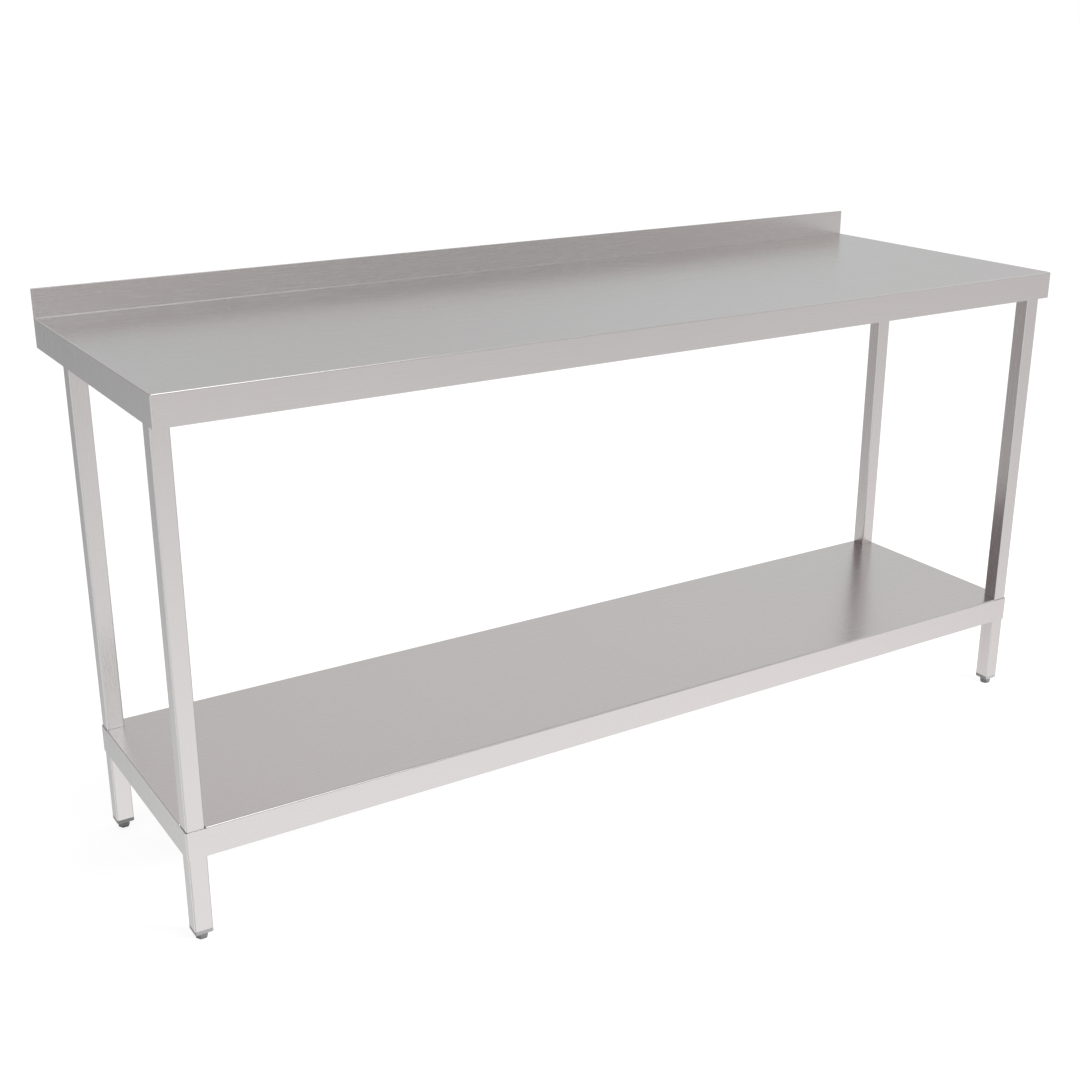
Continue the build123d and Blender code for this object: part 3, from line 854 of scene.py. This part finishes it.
# then how far its six sides stand in, and height
PAD_SIDE = (
    (0.6, 0.0), (0.3, 0.1), (0.08, 0.4), (0.0, 0.8), (0.0, 2.3), (0.12, 2.75), (0.45, 3.0),
)
BOSS_RADIUS = 2.9 * MM

PLUG_HOLE = 5.5 * MM
PLUG_RIBS = 3
# how far the plug's core and its ribs stand in from its flange, in mm
CORE_IN, RIB_IN = 2.5, 1.3


def hexagon(across, inset_mm, turn):
    return outline(6, across - 2 * inset_mm * MM, HEX_CORNER, 8, turn)


def foot_stud(corner, place, body, major):
    """The threaded stud."""
    low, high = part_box(f"foot_stud_{corner}")
    bm = bmesh.new()
    thread(bm, place, low.z, high.z, major, STUD_PITCH)
    stud = finished(f"foot_stud_{corner}_thread", bm, zinc_bright)
    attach(stud, body)
    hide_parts(f"foot_stud_{corner}")


def foot_body(corner, place, body, stud_radius, turn):
    """The six-sided moulded body, narrower to its foot, with a shallow collar on top."""
    low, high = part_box(f"foot_hex_{corner}")
    across = min(high.x - low.x, high.y - low.y)
    plain = hexagon(across, 0.0, turn)
    bore = circle_like(plain, stud_radius - 0.02 * MM)
    socket = circle_like(plain, SOCKET_RADIUS)
    bottom, top, socket_top = low.z, high.z, low.z + SOCKET_DEPTH
    sections = [(hexagon(across, inset, turn), bottom + rise * MM) for inset, rise in BODY_LOW]
    sections += [(hexagon(across, inset, turn), top - drop * MM) for inset, drop in BODY_HIGH]
    sections += [(circle_like(plain, share * across), top - drop * MM) for share, drop in COLLAR]
    sections += [(bore, top), (bore, socket_top), (socket, socket_top), (socket, bottom)]
    bm = bmesh.new()
    loft(bm, place, [level(points, z) for points, z in sections], closed=True)
    body_piece = finished(f"foot_hex_{corner}_moulding", bm, foot_plastic, 40.0)
    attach(body_piece, body)
    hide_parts(f"foot_hex_{corner}")


def foot_pad(corner, place, turn):
    """The pad, six-sided like the body, with its boss and two grip grooves underneath."""
    low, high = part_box(f"foot_pad_{corner}")
    across = min(high.x - low.x, high.y - low.y)
    plain = hexagon(across, 0.0, turn)
    rings = [level(circle_like(plain, max(r, 0.05) * MM), z * MM) for r, z in TREAD]
    rings += [level(hexagon(across, inset, turn), z * MM) for inset, z in PAD_SIDE]
    boss = (
        (BOSS_RADIUS + 0.2 * MM, 3.0 * MM),
        (BOSS_RADIUS, 3.2 * MM),
        (BOSS_RADIUS, high.z - 0.4 * MM),
        (BOSS_RADIUS - 0.4 * MM, high.z),
    )
    rings += [level(circle_like(plain, r), z) for r, z in boss]
    bm = bmesh.new()
    loft(bm, place, rings)
    pad = finished(f"foot_pad_{corner}_rubber", bm, pad_rubber, 40.0)
    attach(pad, f"pad_{corner}")
    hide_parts(f"foot_pad_{corner}")


def foot_plug(corner, place):
    """The plug: the flange seen under the tube, and the ribbed core inside it."""
    low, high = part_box(f"foot_plug_{corner}")
    width = high.x - low.x
    bottom, top = low.z, high.z
    flange_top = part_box(f"leg_{corner}")[0].z

    def square(inset_mm, radius_mm=2.5):
        return outline(4, width - 2 * inset_mm * MM, radius_mm * MM, 8)

    plain = square(0.0)
    sections = [
        (circle_like(plain, PLUG_HOLE), top),
        (circle_like(plain, PLUG_HOLE), bottom + 0.8 * MM),
        (circle_like(plain, PLUG_HOLE + 0.8 * MM), bottom),
        (circle_like(plain, PLUG_HOLE + 2.2 * MM), bottom),
        (circle_like(plain, PLUG_HOLE + 2.6 * MM), bottom + 0.5 * MM),
        (square(3.4, 1.6), bottom + 0.5 * MM),
        (square(3.0, 1.8), bottom),
        (square(0.75, 2.2), bottom),
        (square(0.25, 2.4), bottom + 0.18 * MM),
        (square(0.02), bottom + 0.62 * MM),
        (plain, bottom + 1.0 * MM),
        (plain, flange_top - 0.3 * MM),
        (square(0.12), flange_top - 0.08 * MM),
        (square(0.35, 2.4), flange_top),
        (square(CORE_IN), flange_top),
    ]
    spacing = (top - flange_top) / PLUG_RIBS
    for rib in range(PLUG_RIBS):
        start = flange_top + (rib + 0.4) * spacing
        sections += [
            (square(CORE_IN), start),
            (square(RIB_IN, 1.3), start + 0.5 * MM),
            (square(RIB_IN, 1.3), start + 1.4 * MM),
            (square(CORE_IN), start + 2.0 * MM),
        ]
    sections += [(square(CORE_IN), top - 0.4 * MM), (square(2.9, 2.2), top)]
    bm = bmesh.new()
    loft(bm, place, [level(points, z) for points, z in sections], closed=True)
    plug = finished(f"foot_plug_{corner}_moulding", bm, plug_plastic, 40.0)
    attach(plug, "frame")
    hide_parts(f"foot_plug_{corner}")


def foot_pieces(corner):
    """Detailed pieces in place of one foot's stud, body and pad, and of the plug above it."""
    stud_low, stud_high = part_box(f"foot_stud_{corner}")
    hex_low, hex_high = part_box(f"foot_hex_{corner}")
    centre = (stud_low + stud_high) / 2
    place = Matrix.Translation((centre.x, centre.y, 0.0))
    body = f"foot_{corner}"
    major = (stud_high.x - stud_low.x) / 2
    turn = -math.pi / 6 if hex_high.x - hex_low.x > hex_high.y - hex_low.y else 0.0
    foot_stud(corner, place, body, major)
    foot_body(corner, place, body, major, turn)
    foot_pad(corner, place, turn)
    foot_plug(corner, place)


for corner in CORNERS:
    foot_pieces(corner)
